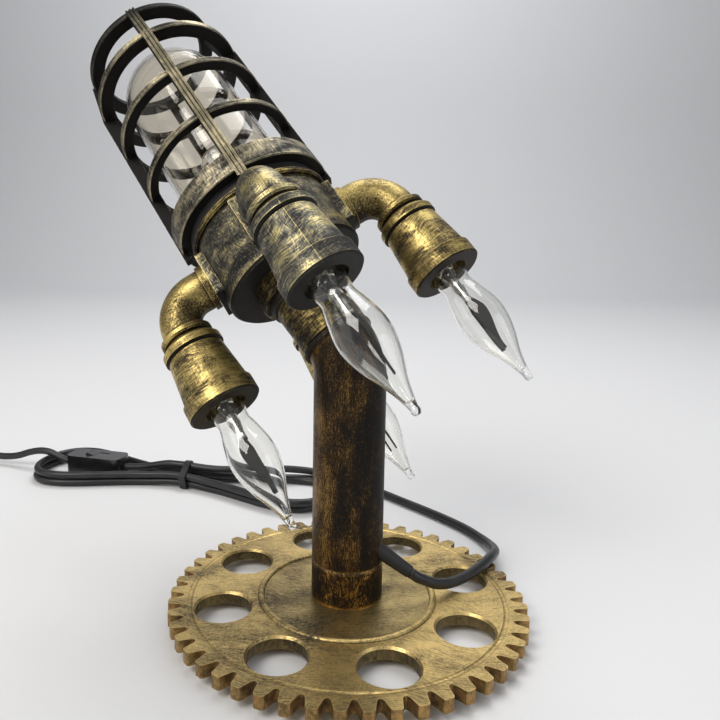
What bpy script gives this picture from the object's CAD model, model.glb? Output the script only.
"""Looks of a rocket-shaped table lamp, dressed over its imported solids."""
import logging
import math
from dataclasses import dataclass
from enum import Enum
from typing import Iterable, Sequence

import bpy
import numpy as np
from mathutils import Matrix, Vector


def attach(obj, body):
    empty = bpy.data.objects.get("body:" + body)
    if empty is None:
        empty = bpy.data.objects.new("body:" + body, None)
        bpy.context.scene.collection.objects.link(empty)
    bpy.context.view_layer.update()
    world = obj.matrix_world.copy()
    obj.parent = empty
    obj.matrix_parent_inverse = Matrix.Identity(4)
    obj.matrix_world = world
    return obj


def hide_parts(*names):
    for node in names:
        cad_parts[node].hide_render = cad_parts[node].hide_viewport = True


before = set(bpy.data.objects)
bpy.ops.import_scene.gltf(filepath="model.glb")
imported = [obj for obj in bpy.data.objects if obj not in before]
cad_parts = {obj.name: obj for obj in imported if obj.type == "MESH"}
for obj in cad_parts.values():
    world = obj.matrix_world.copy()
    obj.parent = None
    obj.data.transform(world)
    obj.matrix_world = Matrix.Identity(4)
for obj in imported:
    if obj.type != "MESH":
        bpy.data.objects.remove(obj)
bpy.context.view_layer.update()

LOG = logging.getLogger("rocket_lamp")
MM = 0.001
Colour = tuple[float, float, float]
Socket = bpy.types.NodeSocket
Value = float | Socket


class Quarter(Enum):
    """The four arms, each with its turn about the rocket axis in degrees."""

    LEFT = 45
    FRONT = 135
    RIGHT = 225
    BACK = 315

    @property
    def label(self) -> str:
        """Name of the arm as the solids spell it, in lower case."""
        return self.name.lower()


@dataclass(frozen=True)
class Place:
    """A right-handed frame in the row frame, in metres."""

    origin: tuple[float, float, float]
    x: tuple[float, float, float]
    y: tuple[float, float, float]
    z: tuple[float, float, float]

    def basis(self) -> np.ndarray:
        """Axes of the frame as the columns of a 3 by 3 array."""
        return np.array([self.x, self.y, self.z], float).T

    def out(self, points: np.ndarray) -> np.ndarray:
        """Local points, one per row, moved into the row frame."""
        return np.asarray(points, float) @ self.basis().T + np.array(self.origin, float)

    def euler(self) -> tuple[float, float, float]:
        """Turn of the frame for a Mapping node, as XYZ Euler angles in radians."""
        return tuple(Matrix(self.basis().tolist()).to_euler("XYZ"))

    def turned(self, degrees: float, shift: float = 0.0) -> "Place":
        """The frame turned about its z axis and shifted along its new x axis.

        Args:
            degrees: turn about z.
            shift: move along the turned x axis, in metres.

        Returns:
            The new frame.
        """
        c, s = math.cos(math.radians(degrees)), math.sin(math.radians(degrees))
        x, y = np.array(self.x), np.array(self.y)
        nx, ny = c * x + s * y, c * y - s * x
        return Place(tuple(np.array(self.origin) + shift * nx), tuple(nx), tuple(ny), self.z)


NECK_Z = 155.2 * MM
LEAN, HEADING = math.radians(45), math.radians(140)
WORLD = Place((0, 0, 0), (1, 0, 0), (0, 1, 0), (0, 0, 1))
ROCKET = Place(
    (0, 0, NECK_Z),
    (math.cos(LEAN) * math.cos(HEADING), math.cos(LEAN) * math.sin(HEADING), -math.sin(LEAN)),
    (-math.sin(HEADING), math.cos(HEADING), 0.0),
    (math.sin(LEAN) * math.cos(HEADING), math.sin(LEAN) * math.sin(HEADING), math.cos(LEAN)),
)
ARM_OUT = 76 * MM
HANK_TURN = -12.0
HANK = Place((-0.150, 0.200, 0.0), (1, 0, 0), (0, 1, 0), (0, 0, 1)).turned(HANK_TURN)


class Graph:
    """A material's node tree with short calls for the nodes used here."""

    def __init__(self, name: str) -> None:
        """Make an empty material.

        Args:
            name: name of the material.
        """
        self.material = bpy.data.materials.new(name)
        self.material.use_nodes = True
        self.tree = self.material.node_tree
        self.tree.nodes.clear()
        self.output = self.tree.nodes.new("ShaderNodeOutputMaterial")

    def node(self, kind: str, values: dict[str | int, object] | None = None, **settings: object) -> bpy.types.Node:
        """Add a node, set its properties and fill or link its inputs.

        Args:
            kind: Blender's node type.
            values: input name or number to a constant or a socket.
            settings: properties of the node.

        Returns:
            The node.
        """
        made = self.tree.nodes.new(kind)
        for key, value in settings.items():
            setattr(made, key, value)
        for key, value in (values or {}).items():
            if isinstance(value, Socket):
                self.tree.links.new(value, made.inputs[key])
            else:
                made.inputs[key].default_value = value
        return made

    def maths(self, operation: str, a: Value, b: Value = 0.0, clamp: bool = False) -> Socket:
        """Result of one Math node, kept between 0 and 1 where clamp is set."""
        return self.node("ShaderNodeMath", {0: a, 1: b}, operation=operation, use_clamp=clamp).outputs[0]

    def weighed(self, *terms: tuple[Value, float]) -> Socket:
        """Sum of values, each times its weight.

        Args:
            terms: values with their weights.

        Returns:
            The sum.
        """
        total: Value = 0.0
        for value, weight in terms:
            made = self.node("ShaderNodeMath", {0: value, 1: weight, 2: total}, operation="MULTIPLY_ADD")
            total = made.outputs[0]
        return total

    def span(self, value: Value, low: float, high: float, to_low: float = 0.0, to_high: float = 1.0) -> Socket:
        """Smooth step of a value from one range to another.

        Args:
            value: the value.
            low: where the step starts.
            high: where the step ends.
            to_low: result before the step.
            to_high: result after the step.

        Returns:
            The stepped value.
        """
        return self.node(
            "ShaderNodeMapRange",
            {"Value": value, "From Min": low, "From Max": high, "To Min": to_low, "To Max": to_high},
            interpolation_type="SMOOTHSTEP",
        ).outputs["Result"]

    def local(self, place: Place) -> Socket:
        """Surface points in a frame's own axes, in metres.

        Args:
            place: the frame.

        Returns:
            A vector.
        """
        raw = self.node("ShaderNodeTexCoord").outputs["Object"]
        values = {"Vector": raw, "Location": place.origin, "Rotation": place.euler()}
        return self.node("ShaderNodeMapping", values, vector_type="TEXTURE").outputs[0]

    def facing(self, place: Place) -> Socket:
        """Surface normals in a frame's own axes.

        Args:
            place: the frame.

        Returns:
            A vector.
        """
        raw = self.node("ShaderNodeTexCoord").outputs["Normal"]
        values = {"Vector": raw, "Rotation": place.euler()}
        return self.node("ShaderNodeMapping", values, vector_type="TEXTURE").outputs[0]

    def dot(self, a: Socket, b: Sequence[float] | Socket) -> Socket:
        """Dot product of two vectors."""
        return self.node("ShaderNodeVectorMath", {0: a, 1: b}, operation="DOT_PRODUCT").outputs["Value"]

    def stretched(self, vector: Socket, scale: Sequence[float]) -> Socket:
        """A vector scaled on each axis."""
        return self.node("ShaderNodeVectorMath", {0: vector, 1: tuple(scale)}, operation="MULTIPLY").outputs[0]

    def noise(self, vector: Socket, scale: float, detail: float = 4.0, rough: float = 0.6, warp: float = 0.0) -> Socket:
        """Fractal noise from 0 to 1: cells per unit, octaves, share of each finer octave, distortion."""
        values = {"Vector": vector, "Scale": scale, "Detail": detail, "Roughness": rough, "Distortion": warp}
        return self.node("ShaderNodeTexNoise", values).outputs[0]

    def swirled(self, vector: Socket, scale: float, reach: float) -> Socket:
        """Points shifted by broad noise, so that strokes laid over them bend.

        Args:
            vector: where.
            scale: noise cells per unit.
            reach: size of the shift.

        Returns:
            The shifted points.
        """
        drift = self.node("ShaderNodeTexNoise", {"Vector": vector, "Scale": scale, "Detail": 1.0}).outputs["Color"]
        centred = self.node("ShaderNodeVectorMath", {0: drift, 1: (0.5, 0.5, 0.5)}, operation="SUBTRACT").outputs[0]
        shift = self.stretched(centred, (reach, reach, reach))
        return self.node("ShaderNodeVectorMath", {0: vector, 1: shift}, operation="ADD").outputs[0]

    def ramp(self, value: Socket, stops: Iterable[tuple[float, Colour]]) -> Socket:
        """Colour ramp.

        Args:
            value: position from 0 to 1.
            stops: positions with colours.

        Returns:
            The colour.
        """
        made = self.node("ShaderNodeValToRGB", {0: value})
        elements = made.color_ramp.elements
        listed = list(stops)
        while len(elements) < len(listed):
            elements.new(0.5)
        for element, (position, colour) in zip(elements, listed):
            element.position = position
            element.color = (*colour, 1.0)
        return made.outputs[0]

    def blend(self, share: Value, a: Colour | Socket, b: Colour | Socket, kind: str = "MIX") -> Socket:
        """Mix of two colours.

        Args:
            share: how much of the second.
            a: first colour.
            b: second colour.
            kind: Blender's name of the way to mix.

        Returns:
            The mixed colour.
        """
        made = self.node("ShaderNodeMix", {0: share}, data_type="RGBA", blend_type=kind)
        for number, colour in ((6, a), (7, b)):
            if isinstance(colour, Socket):
                self.tree.links.new(colour, made.inputs[number])
            else:
                made.inputs[number].default_value = (*colour, 1.0)
        return made.outputs[2]

    def bump(self, height: Socket, strength: float, depth: float) -> Socket:
        """Normal bumped by a height from 0 to 1, with the depth of the relief in metres."""
        return self.node("ShaderNodeBump", {"Strength": strength, "Distance": depth, "Height": height}).outputs[0]

    def close(self, shader: bpy.types.Node) -> bpy.types.Material:
        """Link the last shader node to the output and give the material."""
        self.tree.links.new(shader.outputs[0], self.output.inputs["Surface"])
        return self.material


@dataclass(frozen=True)
class RubbedMetal:
    """Dark patina with brushed-on gold: strokes run along one axis of a frame.

    Stroke, cross and patch are noise cells per metre, lengths are metres, and pairs of thresholds
    say where a step starts and ends.
    """

    dark: Colour
    middle: Colour
    gold: Colour
    place: Place = WORLD
    stroke: tuple[float, float, float] = (1300.0, 1300.0, 140.0)
    cross: tuple[float, float, float] = (420.0, 420.0, 420.0)
    patch: float = 45.0
    sweep: tuple[float, float, float] = (1.0, 1.0, 1.0)
    patch_gain: float = 1.2
    bias: float = 0.0
    contrast: float = 2.2
    lit: tuple[float, float, float] = (0.0, 0.0, 0.0)
    shine: float = 0.34
    edge_gold: float = 0.5
    edge_width: float = 0.0012
    corner_reach: float = 0.006
    level: float = 0.4
    swirl: tuple[float, float] = (20.0, 0.0)
    under: float = 0.0
    seam: float = 0.0
    seam_width: tuple[float, float] = (0.08 * MM, 0.34 * MM)
    start: float = 0.45
    underside: tuple[float, float] = (-0.9, -0.55)
    edge_bend: tuple[float, float] = (0.015, 0.2)
    openness: tuple[float, float] = (0.4, 0.95)
    corner_dark: float = 0.6
    stops: tuple[float, float, float] = (0.34, 0.58, 0.82)
    glint: float = 1.35
    grain: float = 2600.0

    def cover(self, graph: Graph, strokes: Socket, patches: Socket) -> Socket:
        """Share of gold at each point.

        Args:
            graph: the node tree.
            strokes: fine stroke noise.
            patches: broad noise.

        Returns:
            The share from 0 to 1.
        """
        halfway = 0.5 * (self.contrast + self.patch_gain)
        along = graph.dot(graph.facing(self.place), (0.0, 0.0, 1.0))
        terms = [
            (strokes, self.contrast),
            (patches, self.patch_gain),
            (1.0, self.start + self.bias - halfway),
            (self.wear(graph), 1.0),
            (graph.span(along, *self.underside, -self.under, 0.0), 1.0),
        ]
        if self.seam:
            terms.append((self.parting(graph), 1.0))
        side = graph.dot(graph.facing(WORLD), self.lit)
        return graph.maths("ADD", graph.weighed(*terms), side, clamp=True)

    def parting(self, graph: Graph) -> Socket:
        """Thin gold line where the two halves of an arm's mould met.

        The arms lie in the two planes x = y and x = -y of the rocket's frame, so the distance from
        the nearer plane is the difference of |x| and |y| over the root of two.

        Args:
            graph: the node tree.

        Returns:
            What to add to the share of gold.
        """
        split = graph.node("ShaderNodeSeparateXYZ", {0: graph.local(ROCKET)}).outputs
        apart = graph.maths("SUBTRACT", graph.maths("ABSOLUTE", split[0]), graph.maths("ABSOLUTE", split[1]))
        away = graph.maths("MULTIPLY", graph.maths("ABSOLUTE", apart), math.sqrt(0.5))
        return graph.span(away, *self.seam_width, self.seam, 0.0)

    def edges(self, graph: Graph) -> Socket:
        """Gold rubbed through on edges, found where a rounded normal leaves the plain one.

        Args:
            graph: the node tree.

        Returns:
            The gain of gold from 0 up.
        """
        soft = graph.node("ShaderNodeBevel", {"Radius": self.edge_width}, samples=4).outputs[0]
        plain = graph.node("ShaderNodeNewGeometry").outputs["Normal"]
        bend = graph.maths("SUBTRACT", 1.0, graph.dot(soft, plain))
        return graph.span(bend, *self.edge_bend, 0.0, self.edge_gold)

    def wear(self, graph: Graph) -> Socket:
        """Gold on outer edges, and dark left in corners.

        Args:
            graph: the node tree.

        Returns:
            What to add to the share of gold.
        """
        values = {"Distance": self.corner_reach}
        clear = graph.node("ShaderNodeAmbientOcclusion", values, samples=6, only_local=True).outputs["AO"]
        open_share = graph.span(clear, *self.openness)
        gain = graph.maths("MULTIPLY", self.edges(graph), open_share)
        return graph.weighed((gain, 1.0), (open_share, self.corner_dark), (-1.0, self.corner_dark))

    def tint(self, graph: Graph, colour: Socket) -> Socket:
        """Last change to the colour of the coat, none here."""
        return colour

    def material(self, name: str) -> bpy.types.Material:
        """Build the material.

        Args:
            name: its name.

        Returns:
            The material.
        """
        graph = Graph(name)
        where = graph.local(self.place)
        brushed = graph.swirled(where, *self.swirl)
        fine = graph.noise(graph.stretched(brushed, self.stroke), 1.0, 2.0, 0.6, 0.3)
        dabs = graph.noise(graph.stretched(brushed, self.cross), 1.0, 2.0, 0.6, 0.3)
        strokes = graph.weighed((fine, 0.6), (dabs, 0.4))
        patches = graph.noise(graph.stretched(where, self.sweep), self.patch, 2.0, 0.5, 0.4)
        grain = graph.noise(where, self.grain, 2.0, 0.5)
        share = self.cover(graph, strokes, patches)
        bright = tuple(min(1.0, self.glint * c) for c in self.gold)
        shades = (self.dark, self.dark, self.middle, self.gold, bright)
        colour = graph.ramp(share, zip((0.0, *self.stops, 1.0), shades))
        rough = graph.weighed((graph.span(share, 0.1, 0.9, self.shine + 0.2, self.shine), 1.0), (grain, 0.12))
        relief = graph.weighed((strokes, 0.7), (grain, 0.3))
        shader = graph.node(
            "ShaderNodeBsdfPrincipled",
            {
                "Base Color": self.tint(graph, colour),
                "Metallic": graph.span(share, 0.2, 0.75, 0.55, 0.95),
                "Specular IOR Level": self.level,
                "Roughness": rough,
                "Normal": graph.bump(relief, 0.25, 0.0002),
            },
        )
        return graph.close(shader)


@dataclass(frozen=True)
class GuardMetal(RubbedMetal):
    """Patina of the guard: black rings and inner faces, gold where a face looks away from the axis."""

    outward: tuple[float, float] = (0.25, 0.75)
    nose: tuple[float, float] = (0.255, 0.275)
    nose_dark: float = 0.5
    rub: tuple[float, float] = (0.4, 0.62)
    rub_gain: tuple[float, float] = (0.2, 1.5)

    def cover(self, graph: Graph, strokes: Socket, patches: Socket) -> Socket:
        """Share of gold, cut off on faces that look along or towards the axis.

        Args:
            graph: the node tree.
            strokes: fine stroke noise.
            patches: broad noise.

        Returns:
            The share from 0 to 1.
        """
        share = super().cover(graph, strokes, patches)
        where = graph.local(self.place)
        flat = graph.stretched(where, (1.0, 1.0, 0.0))
        spoke = graph.node("ShaderNodeVectorMath", {0: flat}, operation="NORMALIZE").outputs[0]
        out = graph.span(graph.dot(graph.facing(self.place), spoke), *self.outward)
        along = graph.node("ShaderNodeSeparateXYZ", {0: where}).outputs[2]
        fade = graph.span(along, *self.nose, 1.0, 1.0 - self.nose_dark)
        rubbed = graph.maths("MULTIPLY", self.edges(graph), graph.span(strokes, *self.rub, *self.rub_gain))
        kept = graph.maths("ADD", graph.maths("MULTIPLY", share, out), rubbed, clamp=True)
        return graph.maths("MULTIPLY", kept, fade)


@dataclass(frozen=True)
class PlateMetal(RubbedMetal):
    """Patina of the toothed plate: duller hub, coppery tooth flanks, dark window walls."""

    hub: tuple[float, float] = (0.048, 0.050)
    rim: tuple[float, float] = (0.094, 0.097)
    upright: tuple[float, float] = (0.75, 0.35)
    dull: Colour = (0.72, 0.74, 0.78)
    wall: Colour = (0.02, 0.017, 0.013)
    wall_share: float = 0.75
    wear_cells: float = 260.0
    worn: tuple[float, float] = (0.36, 0.62)
    copper: Colour = (0.33, 0.18, 0.062)
    umber: Colour = (0.085, 0.052, 0.022)

    def tint(self, graph: Graph, colour: Socket) -> Socket:
        """Colour by the distance from the post and by how upright the face is.

        Args:
            graph: the node tree.
            colour: colour of the coat.

        Returns:
            The colour to use.
        """
        flat = graph.stretched(graph.local(WORLD), (1.0, 1.0, 0.0))
        away = graph.node("ShaderNodeVectorMath", {0: flat}, operation="LENGTH").outputs["Value"]
        level = graph.dot(graph.facing(WORLD), (0.0, 0.0, 1.0))
        upright = graph.span(graph.maths("ABSOLUTE", level), *self.upright)
        outer = graph.span(away, *self.rim)
        inner = graph.span(away, *self.hub)
        shaded = graph.blend(1.0, colour, self.dull, "MULTIPLY")
        face = graph.blend(graph.maths("SUBTRACT", 1.0, inner), colour, shaded)
        worn = graph.span(graph.noise(graph.local(WORLD), self.wear_cells, 3.0, 0.65), *self.worn)
        wall = graph.blend(outer, self.wall, graph.blend(worn, self.umber, self.copper))
        return graph.blend(graph.maths("MULTIPLY", upright, self.wall_share), face, wall)


@dataclass(frozen=True)
class Electrode:
    """Flat dark electrode on bright lead-in wires: the colour changes along the rocket axis."""

    dark: Colour = (0.022, 0.021, 0.022)
    bright: Colour = (0.55, 0.54, 0.52)
    change: tuple[float, float] = (-0.010, -0.006)
    rough: tuple[float, float] = (0.7, 0.18)
    metal: tuple[float, float] = (0.0, 0.9)

    def material(self, name: str) -> bpy.types.Material:
        """Build the material.

        Args:
            name: its name.

        Returns:
            The material.
        """
        graph = Graph(name)
        where = graph.local(ROCKET)
        along = graph.node("ShaderNodeSeparateXYZ", {0: where}).outputs[2]
        stem = graph.span(along, *self.change)
        fine = graph.noise(where, 1500.0, 3.0, 0.6)
        shader = graph.node(
            "ShaderNodeBsdfPrincipled",
            {
                "Base Color": graph.blend(stem, self.dark, self.bright),
                "Metallic": graph.span(stem, 0.0, 1.0, *self.metal),
                "Specular IOR Level": 0.15,
                "Roughness": graph.span(stem, 0.0, 1.0, *self.rough),
                "Normal": graph.bump(fine, 0.25, 0.0002),
            },
        )
        return graph.close(shader)


@dataclass(frozen=True)
class ClearGlass:
    """Clear glass that lets light pass to what it covers."""

    tint: Colour = (0.97, 0.97, 0.95)
    ripple: float = 0.15
    rough: float = 0.0
    index: float = 1.25
    coat: float = 0.5
    waves: float = 60.0
    depth: float = 0.0008

    def material(self, name: str) -> bpy.types.Material:
        """Build the material.

        Args:
            name: its name.

        Returns:
            The material.
        """
        graph = Graph(name)
        where = graph.local(WORLD)
        waves = graph.noise(where, self.waves, 2.0, 0.4)
        glass = graph.node(
            "ShaderNodeBsdfPrincipled",
            {
                "Base Color": (*self.tint, 1.0),
                "Roughness": self.rough,
                "IOR": self.index,
                "Transmission Weight": 1.0,
                "Coat Weight": self.coat,
                "Coat Roughness": 0.02,
                "Normal": graph.bump(waves, self.ripple, self.depth),
            },
        )
        clear = graph.node("ShaderNodeBsdfTransparent", {"Color": (*self.tint, 1.0)})
        shadow = graph.node("ShaderNodeLightPath").outputs["Is Shadow Ray"]
        mixed = graph.node("ShaderNodeMixShader", {0: shadow, 1: glass.outputs[0], 2: clear.outputs[0]})
        return graph.close(mixed)


@dataclass(frozen=True)
class Moulded:
    """Rubber, plastic, glaze or plain metal with fine mottling."""

    colour: Colour
    other: Colour
    rough: float = 0.5
    spread: float = 0.15
    metal: float = 0.0
    grain: float = 900.0
    relief: float = 0.2
    depth: float = 0.0002
    coat: float = 0.0
    mottle: float = 70.0

    def material(self, name: str) -> bpy.types.Material:
        """Build the material.

        Args:
            name: its name.

        Returns:
            The material.
        """
        graph = Graph(name)
        where = graph.local(WORLD)
        fine = graph.noise(where, self.grain, 3.0, 0.6)
        broad = graph.noise(where, self.mottle, 3.0, 0.55)
        shader = graph.node(
            "ShaderNodeBsdfPrincipled",
            {
                "Base Color": graph.blend(graph.span(broad, 0.35, 0.7), self.colour, self.other),
                "Metallic": self.metal,
                "Roughness": graph.span(broad, 0.3, 0.7, self.rough, self.rough + self.spread),
                "Coat Weight": self.coat,
                "Normal": graph.bump(fine, self.relief, self.depth),
            },
        )
        return graph.close(shader)


BLACK: Colour = (0.012, 0.011, 0.010)
SOOT: Colour = (0.022, 0.018, 0.013)
GOLD: Colour = (0.44, 0.335, 0.12)
AROUND = (200.0, 200.0, 1700.0)
ALONG = (1700.0, 1700.0, 200.0)
BANDS = (1.0, 1.0, 2.6)
NOSE = np.array(ROCKET.z)
FINISHES = {
    "plate": PlateMetal(
        (0.045, 0.037, 0.025), (0.32, 0.232, 0.102), (0.57, 0.42, 0.17), stroke=(170.0, 1500.0, 300.0),
        cross=(760.0, 560.0, 300.0), patch=30.0, sweep=(1.0, 1.6, 1.0), patch_gain=1.25, bias=0.29, contrast=1.75,
        swirl=(16.0, 0.06),
    ),
    "post": RubbedMetal(
        BLACK, (0.056, 0.033, 0.0135), (0.22, 0.132, 0.045), stroke=(2400.0, 2400.0, 220.0),
        cross=(1500.0, 1500.0, 1100.0), patch=80.0, sweep=(1.2, 1.2, 0.4), patch_gain=1.1, bias=-0.04, contrast=2.0,
        lit=(-0.14, -0.06, 0.0), shine=0.30, level=0.15, swirl=(40.0, 0.012),
    ),
    "collar": RubbedMetal(
        BLACK, (0.072, 0.043, 0.017), (0.44, 0.255, 0.075), stroke=(1700.0, 1700.0, 300.0), cross=(900.0, 900.0, 600.0),
        patch=70.0, bias=0.03, contrast=1.9, edge_gold=1.0, edge_width=0.003, shine=0.28, level=0.2, swirl=(50.0, 0.01),
    ),
    "neck": RubbedMetal(
        BLACK, (0.12, 0.088, 0.035), GOLD, ROCKET, AROUND, ALONG, sweep=BANDS, bias=-0.06, lit=(-0.05, -0.05, 0.12),
        level=0.2,
    ),
    "body": RubbedMetal(
        (0.018, 0.0175, 0.016), (0.12, 0.11, 0.085), (0.44, 0.36, 0.16), ROCKET, ALONG, AROUND, patch=34.0, sweep=BANDS,
        patch_gain=1.2, bias=0.08, contrast=1.9, lit=tuple(0.45 * NOSE), level=0.2, swirl=(30.0, 0.02),
        under=0.5,
    ),
    "guard": GuardMetal(
        BLACK, (0.13, 0.119, 0.094), (0.41, 0.35, 0.215), ROCKET, ALONG, AROUND, sweep=BANDS, bias=0.09, contrast=1.7,
        corner_reach=0.002, level=0.2, swirl=(34.0, 0.012),
    ),
    "arm": RubbedMetal(
        SOOT, (0.20, 0.147, 0.056), (0.47, 0.36, 0.13), stroke=(1900.0, 1900.0, 1900.0), cross=(800.0, 800.0, 800.0),
        bias=0.08, contrast=2.3, lit=(-0.16, -0.06, 0.13), level=0.3, seam=0.2,
    ),
    "cup": RubbedMetal(
        SOOT, (0.21, 0.155, 0.06), (0.52, 0.40, 0.145), ROCKET, AROUND, ALONG, sweep=BANDS, patch_gain=1.2, bias=0.18,
        contrast=2.0, lit=tuple(0.35 * NOSE), level=0.3, under=0.7, swirl=(34.0, 0.014), seam=0.2,
    ),
    "arm_grey": RubbedMetal(
        (0.026, 0.025, 0.022), (0.15, 0.135, 0.10), (0.50, 0.415, 0.18), ROCKET, ALONG, AROUND, sweep=BANDS,
        patch_gain=1.2, bias=0.05, contrast=1.8, lit=(-0.05, -0.05, 0.2), level=0.3, swirl=(34.0, 0.02), seam=0.28,
    ),
    "cup_grey": RubbedMetal(
        (0.026, 0.0255, 0.024), (0.14, 0.132, 0.108), (0.54, 0.45, 0.20), ROCKET, AROUND, ALONG, patch=34.0,
        sweep=BANDS, patch_gain=1.4, bias=0.04, contrast=1.8, lit=tuple(0.4 * NOSE), level=0.3, under=0.6,
        swirl=(34.0, 0.02), seam=0.28,
    ),
    "black_metal": RubbedMetal(BLACK, (0.07, 0.05, 0.03), (0.30, 0.20, 0.08), bias=-0.25),
    "glass": ClearGlass(),
    "jar": ClearGlass((0.90, 0.86, 0.78), 0.2, index=1.1, coat=0.6),
    "electrode": Electrode(),
    "rubber": Moulded((0.012, 0.012, 0.012), (0.022, 0.021, 0.02), 0.55),
    "jacket": Moulded((0.010, 0.010, 0.011), (0.018, 0.018, 0.019), 0.36, 0.12, relief=0.1),
    "gloss": Moulded((0.010, 0.010, 0.011), (0.016, 0.016, 0.017), 0.16, 0.08, relief=0.05, coat=0.3),
    "felt": Moulded((0.02, 0.02, 0.02), (0.04, 0.038, 0.036), 0.9, 0.05, relief=0.8, depth=0.0006),
    "steel": Moulded((0.42, 0.42, 0.43), (0.32, 0.32, 0.33), 0.3, 0.2, 1.0),
    "brass": Moulded((0.62, 0.44, 0.18), (0.50, 0.34, 0.13), 0.25, 0.15, 1.0),
    "china": Moulded((0.80, 0.78, 0.72), (0.74, 0.71, 0.64), 0.25, 0.1, relief=0.05),
    "sleeve": Moulded((0.70, 0.66, 0.55), (0.60, 0.56, 0.46), 0.8, 0.1, relief=0.6),
}


class Wardrobe:
    """Makes each finish once and puts it on pieces."""

    def __init__(self) -> None:
        """Start with no material made."""
        self.made: dict[str, bpy.types.Material] = {}

    def get(self, name: str) -> bpy.types.Material:
        """The material of a finish.

        Args:
            name: key of the finish.

        Returns:
            The material.
        """
        if name not in self.made:
            self.made[name] = FINISHES[name].material(name)
        return self.made[name]

    def put(self, name: str, *nodes: str) -> None:
        """Dress solids.

        Args:
            name: key of the finish.
            nodes: names of the solids.
        """
        for node in nodes:
            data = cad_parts[node].data
            data.materials.clear()
            data.materials.append(self.get(name))
        LOG.info("dressed %s as %s", ", ".join(nodes), name)


def surface(name: str, points: np.ndarray, *faces: np.ndarray) -> bpy.types.Object:
    """Make a smooth mesh object from arrays.

    Args:
        name: name of the object.
        points: vertices, one per row.
        faces: arrays of vertex numbers, one face per row.

    Returns:
        The linked object.
    """
    mesh = bpy.data.meshes.new(name)
    mesh.from_pydata(points.tolist(), [], [row for rows in faces for row in rows.tolist()])
    mesh.polygons.foreach_set("use_smooth", np.full(len(mesh.polygons), True))
    mesh.update()
    made = bpy.data.objects.new(name, mesh)
    bpy.context.scene.collection.objects.link(made)
    return made


def grid_faces(rows: int, columns: int) -> np.ndarray:
    """Quads of a grid that closes on itself across its columns.

    Args:
        rows: number of rings.
        columns: points in a ring.

    Returns:
        Vertex numbers, four per quad.
    """
    r, c = np.meshgrid(np.arange(rows - 1), np.arange(columns), indexing="ij")
    a = r * columns + c
    b = r * columns + (c + 1) % columns
    return np.stack([a, b, b + columns, a + columns], -1).reshape(-1, 4)


def revolved(name: str, profile: np.ndarray, place: Place, sides: int = 64) -> bpy.types.Object:
    """Turn a closed profile about a frame's z axis: each point (r, t) goes to (r cos a, r sin a, t).

    Args:
        name: name of the object.
        profile: radius and height of each point, in metres, in order.
        place: the frame.
        sides: points round the axis.

    Returns:
        The linked object.
    """
    angle = np.linspace(0, 2 * np.pi, sides, endpoint=False)
    r, t = profile[:, :1], profile[:, 1:]
    rings = np.stack([r * np.cos(angle), r * np.sin(angle), t + 0 * angle], -1)
    return surface(name, place.out(rings.reshape(-1, 3)), grid_faces(len(profile), sides)[:, ::-1])


def swept(name: str, path: np.ndarray, radius: float, sides: int) -> bpy.types.Object:
    """Sweep a circle along a path that never runs upright: each ring lies square to the path, its side axis level.

    Args:
        name: name of the object.
        path: points in the row frame.
        radius: radius of the tube.
        sides: points round the tube.

    Returns:
        The linked object, with its two ends closed.
    """
    ahead = np.gradient(path, axis=0)
    ahead /= np.linalg.norm(ahead, axis=1, keepdims=True)
    side = np.cross(ahead, [0.0, 0.0, 1.0])
    side /= np.linalg.norm(side, axis=1, keepdims=True)
    lift = np.cross(side, ahead)
    angle = np.linspace(0, 2 * np.pi, sides, endpoint=False)[:, None]
    rings = path[:, None] + radius * (np.cos(angle) * side[:, None] + np.sin(angle) * lift[:, None])
    points = np.concatenate([path[:1], rings.reshape(-1, 3), path[-1:]])
    ring = np.arange(sides)
    last = len(points) - 1
    wall = (grid_faces(len(path), sides) + 1)[:, ::-1]
    first_cap = np.stack([0 * ring, 1 + ring, 1 + (ring + 1) % sides], -1)
    last_cap = np.stack([0 * ring + last, last - sides + (ring + 1) % sides, last - sides + ring], -1)
    return surface(name, points, wall, first_cap, last_cap)


def smoothstep(u: np.ndarray) -> np.ndarray:
    """Ease from 0 to 1 over the share u of the way, level beyond both ends."""
    v = np.clip(u, 0, 1)
    return v * v * (3 - 2 * v)


def through(points: np.ndarray, steps: int) -> np.ndarray:
    """Catmull-Rom curve through points, with the end points doubled.

    Args:
        points: points to pass, one per row.
        steps: points on each stretch.

    Returns:
        Points on the curve.
    """
    p = np.concatenate([points[:1], points, points[-1:]])
    a, b, c, d = (p[i : len(p) - 3 + i, None] for i in range(4))
    u = np.linspace(0, 1, steps, endpoint=False)[None, :, None]
    curve = 0.5 * (2 * b + (c - a) * u + (2 * a - 5 * b + 4 * c - d) * u**2 + (3 * b - a - 3 * c + d) * u**3)
    return np.concatenate([curve.reshape(-1, points.shape[1]), points[-1:]])


def run_length(path: np.ndarray) -> float:
    """Length of a path, in its points' unit."""
    return float(np.linalg.norm(np.diff(path, axis=0), axis=1).sum())


def arc_spaced(path: np.ndarray, step: float) -> np.ndarray:
    """Points at an even distance along a path.

    Args:
        path: points in order.
        step: distance between points.

    Returns:
        The new points, both ends among them.
    """
    along = np.concatenate([[0], np.cumsum(np.linalg.norm(np.diff(path, axis=0), axis=1))])
    count = max(8, int(round(along[-1] / step)) + 1)
    at = np.linspace(0, along[-1], count)
    return np.stack([np.interp(at, along, path[:, k]) for k in range(3)], -1)


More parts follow.
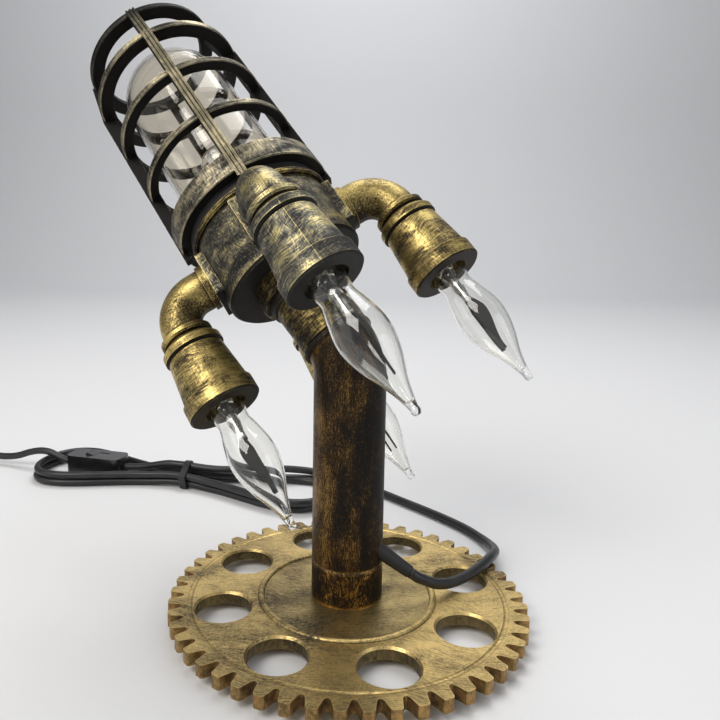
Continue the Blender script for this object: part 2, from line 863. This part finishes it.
@dataclass
class Cord:
    """The cord: out of the post, over the plate, into a tied hank, through a switch to its plug.

    Sizes are millimetres and turns are degrees, apart from the spacing in metres.
    """

    radius: float = 3.15
    sides: int = 16
    spacing: tuple[float, float] = (0.003, 0.0025)
    gland_at: tuple[float, float, float] = (20.0, -6.5, 41.0)
    gland_pitch: float = 125.0
    gland_out: float = 20.0
    route: tuple[tuple[float, float, float], ...] = (
        (44, -5.4, 24.6), (53, -1.5, 20), (63, 6, 17.2), (74, 17, 16.2), (84, 29, 16.2), (93, 43, 15.8),
        (99, 57, 13), (102, 71, 9), (102, 85, 5.6), (98, 100, 3.8), (90, 116, 3.4), (78, 132, 3.4),
        (63, 149, 3.4), (46, 167, 3.4), (28, 186, 3.4), (9, 203, 3.4),
    )
    tail: tuple[tuple[float, float, float], ...] = ((-14, 0, 18), (-26, 0, 15.4), (-38, 0, 12.6))
    end: tuple[tuple[float, float, float], ...] = (
        (-126, 0, 13.4), (-136, 0, 17), (-146, 0, 17.6), (-158, 0, 15.2), (-172, 0, 10.4), (-186, 0, 8.2),
    )
    loop: tuple[float, float, float] = (136.0, 4.0, 76.0)
    pitch: float = 7.4
    floor_gap: float = 0.2
    layer_gap: float = 0.5
    turn_step: float = 3.0
    turn_short: float = 4.0
    turns: tuple[float, float] = (38.0, 810.0)
    climb: tuple[float, float] = (395.0, 448.0)
    over: tuple[float, float, float] = (750.0, 55.0, 30.0)
    tie: tuple[float, float] = (1.4, 34.0)
    switch: tuple[float, float, float] = (-85.0, 54.0, 11.0)
    plug: tuple[float, float] = (-206.0, 8.0)

    def loop_point(self, u: np.ndarray) -> np.ndarray:
        """Points of the tied loops in the hank's frame, in millimetres.

        The plan is x = l cos u, y = (w + v cos^2 u) sin u, moved outwards by a share of the pitch that
        falls to nothing after one turn and grows again; the height climbs one layer along a run, and
        again before the end, and lifts a little at the tie.

        Args:
            u: turn in degrees.

        Returns:
            One point per row.
        """
        length, waist, width = self.loop

        def plan(deg: np.ndarray) -> np.ndarray:
            """Plan of a loop at turns in degrees."""
            c, s = np.cos(np.radians(deg)), np.sin(np.radians(deg))
            return np.stack([length * c, (waist + width * c * c) * s], -1)

        t = plan(u + 1) - plan(u - 1)
        out = np.stack([t[:, 1], -t[:, 0]], -1) / np.linalg.norm(t, axis=1, keepdims=True)
        step = self.pitch * np.abs(u - self.turns[0] - 360) / 360
        flat = plan(u) + step[:, None] * out
        layer = 2 * self.radius + self.layer_gap
        start, run, rise = self.over
        y = flat[:, 1] * (1 - smoothstep((u - start) / run))
        z = (
            self.radius + self.floor_gap
            + layer * smoothstep((u - self.climb[0]) / (self.climb[1] - self.climb[0]))
            + layer * smoothstep((u - start) / rise)
            + self.tie[0] * smoothstep(1 - np.abs(flat[:, 0]) / self.tie[1])
        )
        return np.stack([flat[:, 0], y, z], -1)

    def paths(self) -> tuple[np.ndarray, np.ndarray]:
        """Centrelines of the two lengths of cord, in the row frame, in metres.

        Returns:
            From the post to the switch, and from the switch to the plug.
        """
        stub = 2 * self.radius
        pitch = math.radians(self.gland_pitch)
        ahead = np.array([math.sin(pitch), 0.0, math.cos(pitch)])
        exit_point = np.array(self.gland_at) + self.gland_out * ahead
        u = np.arange(self.turns[0], self.turns[1] - self.turn_short, self.turn_step)
        loops = self.loop_point(u)
        top = np.array([0.0, 0.0, self.loop_point(np.array([self.turns[1]]))[0, 2]])
        back = loops[0] - loops[1]
        entry = loops[0] + stub * back / np.linalg.norm(back)
        before = entry + stub * back / np.linalg.norm(back)
        middle, length, height = self.switch
        near = np.array([middle + length / 2, 0, height])
        far = np.array([middle - length / 2, 0, height])
        last = np.array([self.plug[0], 0, self.plug[1]])
        sx = np.array([stub, 0, 0])
        lead = np.array([exit_point, exit_point + stub * ahead, *self.route]) * MM
        joint = HANK.out(np.array([before, entry]) * MM)
        lead = through(np.concatenate([lead, joint]), 8)
        hank = HANK.out(through(np.concatenate([loops, [top + sx, top]]), 2) * MM)
        tail = HANK.out(through(np.array([top, top - sx, *self.tail, near + sx, near]), 8) * MM)
        end = HANK.out(through(np.array([far, far - sx, *self.end, last + sx, last]), 8) * MM)
        first = np.concatenate([lead[:-1], hank, tail[1:]])
        return arc_spaced(first, self.spacing[0]), arc_spaced(end, self.spacing[1])

    def build(self, wardrobe: Wardrobe) -> None:
        """Args:
            wardrobe: the finishes.
        """
        lead, end = self.paths()
        flex = swept("cord_run", lead, self.radius * MM, self.sides)
        short = swept("cord_short", end, self.radius * MM, self.sides)
        for piece, solids in ((flex, ("cord_lead", "cord_hank", "cord_tail")), (short, ("cord_end",))):
            piece.data.materials.append(wardrobe.get("jacket"))
            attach(piece, "stand")
            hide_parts(*solids)
        wardrobe.put("jacket", "plug_body", "cord_tie")
        wardrobe.put("gloss", "switch_base", "switch_cover", "switch_rocker")
        wardrobe.put("brass", "plug_pins")
        LOG.info("cord of %.3f m and %.3f m", run_length(lead), run_length(end))


@dataclass
class Arm:
    """One pipe arm with its cup and flame bulb, in millimetres along the arm's own axis."""

    quarter: Quarter
    axis: float = 0.02
    stem_sides: int = 32
    neck: tuple[float, float] = (7.4, 21.6)
    side: tuple[tuple[float, float], ...] = (
        (10.3, 12.0), (10.2, 7.5), (9.5, 1.8), (11.7, -7.0), (13.8, -18.0), (13.2, -28.0), (10.4, -38.0),
        (6.0, -48.5), (3.3, -57.0), (2.3, -61.6), (2.4, -64.0), (1.5, -65.6),
    )
    tip: float = -66.0
    wall: float = 0.9
    stalk: tuple[tuple[float, float], ...] = (
        (5.8, 15.0), (4.2, 10.5), (3.1, 7.0), (3.9, 3.4), (3.3, 0.0), (2.6, -4.0),
    )

    def outline(self, cut: float) -> np.ndarray:
        """Profile of the bulb from its neck to its drawn tip, in millimetres.

        A smooth curve runs through the waist under the cup, the belly and the bead at the tip.

        Args:
            cut: how far inside the outer face.

        Returns:
            Radius and station of each point.
        """
        line = np.concatenate([[self.neck], through(np.array(self.side), 6)])
        return np.stack([np.maximum(line[:, 0] - cut, self.axis), line[:, 1]], -1)

    def stem(self) -> np.ndarray:
        """Profile of the glass stem that holds the lead-in wires, in millimetres.

        A smooth curve runs from the flare in the neck over a swelling to the pinch above the plates.

        Returns:
            Radius and station of each point.
        """
        line = through(np.array(self.stalk), 5)
        top, low = (self.axis, line[0, 1]), (self.axis, line[-1, 1])
        return np.concatenate([[top], line, [low, top]])

    def build(self, wardrobe: Wardrobe) -> None:
        """Blow the smooth bulb and dress the arm.

        Args:
            wardrobe: the finishes.
        """
        name = self.quarter.label
        place = ROCKET.turned(self.quarter.value, ARM_OUT)
        outer = self.outline(0.0)
        end = np.array([[self.axis, self.tip]])
        inner = self.outline(self.wall)
        inner = inner[inner[:, 0] > 2 * self.wall][::-1]
        crown = np.array([[self.axis, inner[0, 1]]])
        profile = np.concatenate([outer, end, crown, inner, outer[:1]]) * MM
        bulb = revolved(f"flame_glass_{name}", profile, place)
        bulb.data.materials.append(wardrobe.get("glass"))
        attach(bulb, f"arm_{name}")
        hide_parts(f"bulb_glass_{name}")
        stem = revolved(f"stem_glass_{name}", self.stem() * MM, place, self.stem_sides)
        stem.data.materials.append(wardrobe.get("glass"))
        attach(stem, f"arm_{name}")
        tone = "_grey" if self.quarter is Quarter.FRONT else ""
        wardrobe.put(f"arm{tone}", f"arm_elbow_{name}")
        wardrobe.put(f"cup{tone}", f"cup_{name}")
        wardrobe.put("china", f"holder_{name}")
        wardrobe.put("brass", f"bulb_base_{name}")
        wardrobe.put("electrode", f"flame_plate_{name}")


@dataclass
class Stand:
    """Base plate, feet and post."""

    def dress(self, wardrobe: Wardrobe) -> None:
        """Dress the solids of the stand.

        Args:
            wardrobe: the finishes.
        """
        wardrobe.put("plate", "base_gear")
        wardrobe.put("post", "post_pipe")
        wardrobe.put("collar", "foot_collar")
        wardrobe.put("black_metal", "socket_ring")
        wardrobe.put("rubber", "rubber_feet", "cord_gland")
        wardrobe.put("felt", "base_pad")
        wardrobe.put("steel", "base_locknut", "foot_nipple")
        wardrobe.put("sleeve", "post_lead")


@dataclass
class Head:
    """Neck, lamp body, guard, jar and main bulb."""

    def dress(self, wardrobe: Wardrobe) -> None:
        """Dress the solids of the head.

        Args:
            wardrobe: the finishes.
        """
        wardrobe.put("neck", "neck_pipe", "neck_flange", "seal_ring")
        wardrobe.put("black_metal", "neck_collar")
        wardrobe.put("body", "body_shell")
        wardrobe.put("guard", "cage_guard")
        wardrobe.put("jar", "glass_jar")
        wardrobe.put("glass", "main_bulb_glass")
        wardrobe.put("rubber", "jar_gasket")
        wardrobe.put("china", "main_holder", "terminal_block")
        wardrobe.put("brass", "main_bulb_base")
        wardrobe.put("steel", "neck_nut", "tail_nut", "main_filament")
        wardrobe.put("sleeve", "neck_lead")


@dataclass(frozen=True)
class SoftBox:
    """One square area light: where it hangs, its side in metres, its power in watts, its colour and its target."""

    name: str
    at: tuple[float, float, float]
    size: float
    power: float
    colour: Colour
    target: tuple[float, float, float] = (-0.03, 0.0, 0.16)

    def hang(self) -> None:
        """Add the light to the scene."""
        data = bpy.data.lights.new(self.name, "AREA")
        data.size, data.energy, data.color = self.size, self.power, self.colour
        made = bpy.data.objects.new(self.name, data)
        made.location = self.at
        made.rotation_mode = "QUATERNION"
        made.rotation_quaternion = (Vector(self.target) - Vector(self.at)).to_track_quat("-Z", "Y")
        bpy.context.scene.collection.objects.link(made)
        LOG.info("light %s of %.1f W", self.name, self.power)


@dataclass
class Studio:
    """Camera, floor and light."""

    eye: tuple[float, float, float] = (0.0, -0.3912, 0.2239)
    yaw: float = -0.0535
    pitch: float = 0.1162
    roll: float = 0.0109
    focal_px: float = 687.83
    centre_px: tuple[float, float] = (314.59, 316.02)
    image_px: float = 720.0
    sensor_mm: float = 36.0
    floor_grey: float = 0.74
    floor_rows: tuple[float, float] = (-4.0, -1.0)
    floor_half: float = 6.0
    floor_drop: float = 0.0002
    bend_at: float = 2.2
    bend_radius: float = 0.9
    bend_steps: int = 24
    wall_top: float = 5.0
    sky: Colour = (0.80, 0.82, 0.85)
    sky_strength: float = 0.32
    boxes: tuple[SoftBox, ...] = (
        SoftBox("key", (-0.9, -0.9, 1.3), 0.9, 18.5, (1.0, 0.97, 0.93)),
        SoftBox("fill", (1.2, -0.7, 0.8), 1.0, 5.0, (0.93, 0.96, 1.0)),
        SoftBox("side", (-1.2, -0.5, 0.4), 0.8, 1.2, (1.0, 0.98, 0.95)),
        SoftBox("top", (0.1, 0.5, 1.6), 1.0, 11.0, (1.0, 0.99, 0.97)),
        SoftBox("wall", (0.0, 1.5, 2.4), 1.4, 28.0, (0.97, 0.98, 1.0), (0.0, 3.1, 0.7)),
    )

    def camera(self) -> None:
        """Place the camera at the photograph's viewpoint."""
        data = bpy.data.cameras.new("camera")
        data.sensor_width = self.sensor_mm
        data.lens = self.focal_px / self.image_px * data.sensor_width
        data.shift_x = 0.5 - self.centre_px[0] / self.image_px
        data.shift_y = self.centre_px[1] / self.image_px - 0.5
        data.clip_start = 0.01
        made = bpy.data.objects.new("camera", data)
        bpy.context.scene.collection.objects.link(made)
        ahead = Vector((
            math.sin(self.yaw) * math.cos(self.pitch), math.cos(self.yaw) * math.cos(self.pitch), -math.sin(self.pitch),
        ))
        right = ahead.cross(Vector((0, 0, 1))).normalized()
        up = right.cross(ahead)
        c, s = math.cos(self.roll), math.sin(self.roll)
        right, up = c * right + s * up, c * up - s * right
        turn = Matrix((right, up, -ahead)).transposed()
        made.matrix_world = Matrix.Translation(self.eye) @ turn.to_4x4()
        bpy.context.scene.camera = made
        LOG.info("camera at %s", self.eye)

    def floor(self) -> None:
        """Lay a pale floor that sweeps up into a wall behind: z is flat, then a quarter circle, then upright."""
        turn = np.linspace(0, np.pi / 2, self.bend_steps)
        bend = self.bend_radius
        y = np.concatenate([self.floor_rows, self.bend_at + bend * np.sin(turn), [self.bend_at + bend]])
        z = np.concatenate([[0.0, 0.0], bend - bend * np.cos(turn), [self.wall_top]]) - self.floor_drop
        x = np.linspace(-self.floor_half, self.floor_half, 2)
        points = np.stack([np.tile(x, len(y)), np.repeat(y, 2), np.repeat(z, 2)], -1)
        row = np.arange(len(y) - 1)[:, None] * 2
        sheet = surface("floor", points, row + np.array([0, 1, 3, 2]))
        graph = Graph("floor")
        grey = self.floor_grey
        values = {"Base Color": (grey, grey, grey * 1.01, 1.0), "Roughness": 0.85}
        sheet.data.materials.append(graph.close(graph.node("ShaderNodeBsdfPrincipled", values)))

    def light(self) -> None:
        """Set the world and the soft boxes."""
        world = bpy.data.worlds.new("studio")
        bpy.context.scene.world = world
        world.use_nodes = True
        back = world.node_tree.nodes["Background"]
        back.inputs["Color"].default_value = (*self.sky, 1.0)
        back.inputs["Strength"].default_value = self.sky_strength
        for box in self.boxes:
            box.hang()
        bpy.context.scene.view_settings.view_transform = "Standard"


def main() -> None:
    """Build the scene in order and report each piece."""
    logging.basicConfig(level=logging.INFO, format="%(name)s: %(message)s")
    studio = Studio()
    wardrobe = Wardrobe()
    studio.camera()
    Cord().build(wardrobe)
    Stand().dress(wardrobe)
    Head().dress(wardrobe)
    for quarter in Quarter:
        Arm(quarter).build(wardrobe)
    studio.floor()
    studio.light()
    bpy.context.view_layer.update()


if __name__ == "__main__":
    main()
